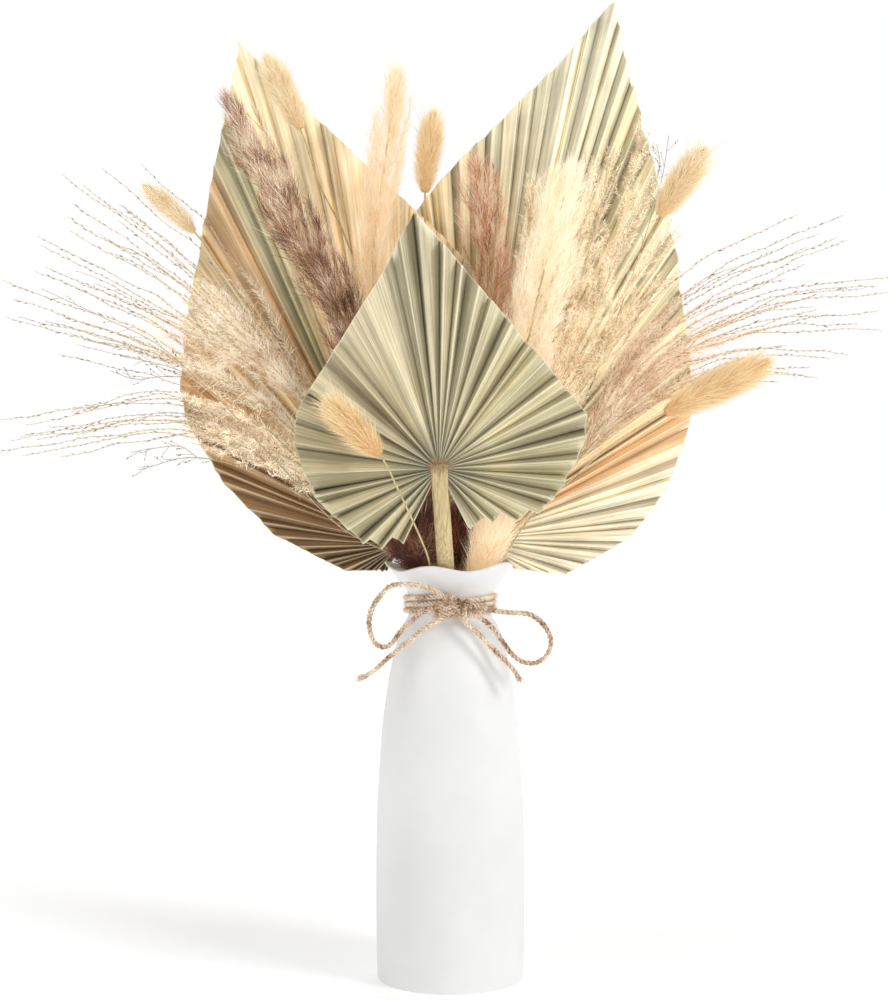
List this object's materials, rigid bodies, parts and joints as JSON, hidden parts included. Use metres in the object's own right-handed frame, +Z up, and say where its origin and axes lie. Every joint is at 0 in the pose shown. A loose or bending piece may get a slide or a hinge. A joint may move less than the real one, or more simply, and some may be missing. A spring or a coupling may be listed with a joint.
{
  "type": "vase of dried pampas grass",
  "caption": "White ceramic bottle vase with a wavy rim and a jute bow round its neck, holding dried pampas plumes, palm leaves, bunny tails and feathery grasses.",
  "frame": {"origin": "centre of the vase's flat base, on the surface it stands on", "axes": "+Z up along the vase's axis, -Y the front where the bow and the front palm leaf are, +X to the right as seen from the front"},
  "size_m": [0.4212, 0.1148, 0.4755],
  "materials": {
    "ceramic": "matte",
    "jute": "rough, fibrous",
    "palm_leaf_front": "dry, pleated, matte",
    "palm_leaf_left": "dry, pleated, matte",
    "palm_leaf_right": "dry, pleated, matte",
    "reed_plume_brown": "silky, fluffy",
    "reed_plume_pink": "silky, fluffy",
    "pampas_plume_centre": "silky, fluffy",
    "pampas_plume_right": "silky, fluffy",
    "bunny_tail": "soft, fluffy",
    "silver_grass_left_upper": "dry, silky",
    "silver_grass_left_lower": "dry, silky",
    "silver_grass_right": "dry, silky",
    "curly_grass_left": "dry, silky",
    "curly_grass_right": "dry, silky",
    "curly_grass_middle": "dry, silky",
    "seed_twig": "dry, matte"
  },
  "bodies": {
    "root": {"vase": "ceramic", "twine_wrap": "jute", "bow_knot": "jute", "bow_loop_left": "jute", "bow_loop_right": "jute", "bow_tail_left": "jute", "bow_tail_right": "jute", "palm_leaf_front": "palm_leaf_front", "palm_leaf_left": "palm_leaf_left", "palm_leaf_right": "palm_leaf_right", "reed_plume_brown": "reed_plume_brown", "reed_plume_pink": "reed_plume_pink", "pampas_plume_centre": "pampas_plume_centre", "pampas_plume_right": "pampas_plume_right", "bunny_tail_far_left": "bunny_tail", "bunny_tail_left": "bunny_tail", "bunny_tail_centre": "bunny_tail", "bunny_tail_right": "bunny_tail", "bunny_tail_far_right": "bunny_tail", "bunny_tail_front": "bunny_tail", "silver_grass_left_upper": "silver_grass_left_upper", "silver_grass_left_lower": "silver_grass_left_lower", "silver_grass_right": "silver_grass_right", "curly_grass_left": "curly_grass_left", "curly_grass_right": "curly_grass_right", "curly_grass_middle": "curly_grass_middle", "seed_twig_left": "seed_twig", "seed_twig_low": "seed_twig", "seed_twig_right": "seed_twig"}
  },
  "joints": []
}
